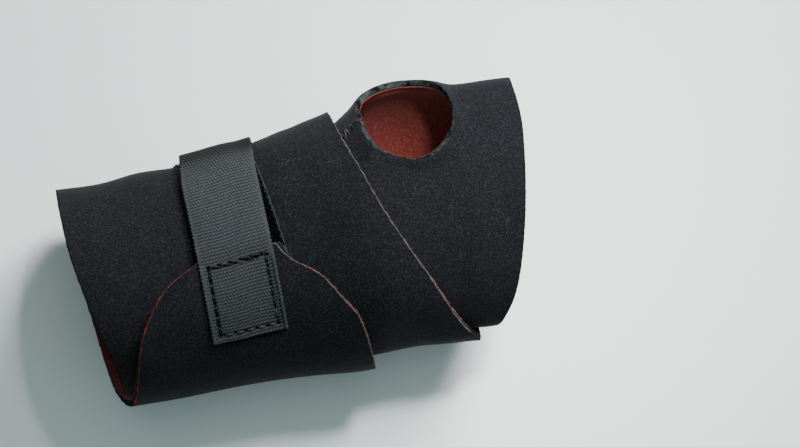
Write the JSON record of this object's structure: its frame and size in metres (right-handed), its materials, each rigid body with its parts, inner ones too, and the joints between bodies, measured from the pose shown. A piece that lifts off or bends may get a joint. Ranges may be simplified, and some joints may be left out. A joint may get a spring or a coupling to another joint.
{
  "type": "wrist splint",
  "caption": "Wrap-around neoprene wrist splint for a left hand, with a thumb hole, a closing flap, a hook-and-loop strap and a flat back stay in a pocket.",
  "frame": {"origin": "under the middle of the splint's bounding box, on the surface it lies on", "axes": "+X from the forearm to the fingers, +Y to the thumb side, +Z to the palm side, up"},
  "size_m": [0.1722, 0.0994, 0.0631],
  "materials": {
    "neoprene": "black nylon-faced neoprene foam",
    "lining": "brick-red brushed lining",
    "webbing": "grey-green woven webbing",
    "hook_tape": "black hook tape",
    "loop_tape": "black brushed loop tape",
    "thread": "black sewing thread",
    "pocket_cloth": "black woven nylon",
    "aluminium": "brushed",
    "vinyl": "dipped black vinyl"
  },
  "bodies": {
    "wrap": {"hand_cuff": "neoprene", "hand_cuff_lining": "lining", "wrist_wrap": "neoprene", "wrist_wrap_lining": "lining", "loop_patch": "loop_tape", "thumb_seam_stitching": "thread", "wrap_seam_stitching": "thread", "stay_pocket": "pocket_cloth", "pocket_stitching": "thread"},
    "flap": {"closing_flap": "neoprene", "closing_flap_lining": "lining", "strap_root": "webbing", "strap_box_stitching": "thread"},
    "strap": {"strap_span": "webbing"},
    "tail": {"strap_tail": "webbing", "hook_pad": "hook_tape"},
    "stay": {"stay_blade": "aluminium", "stay_tip_proximal": "vinyl", "stay_tip_distal": "vinyl"}
  },
  "joints": [
    {"name": "flap_open", "type": "hinge", "parent": "wrap", "child": "flap", "pos_m": [-0.0313, -0.04327, 0.02919], "axis": [0.9982, -0.0557, -0.0211], "range_deg": [0, 50]},
    {"name": "strap_peel", "type": "hinge", "parent": "flap", "child": "strap", "pos_m": [-0.02779, 0.00157, 0.06112], "axis": [0.9987, 0.0272, -0.0422], "range_deg": [0, 90]},
    {"name": "strap_tail_uncurl", "type": "hinge", "parent": "strap", "child": "tail", "pos_m": [-0.02686, 0.03233, 0.04819], "axis": [0.9974, 0.0683, -0.0221], "range_deg": [0, 112]},
    {"name": "stay_slide", "type": "slide", "parent": "wrap", "child": "stay", "axis": [-1, 0, 0], "range_m": [0, 0.115]}
  ],
  "couplings": [
    {"joint": "strap_tail_uncurl", "follows": "flap_open", "ratio": 2.2}
  ]
}
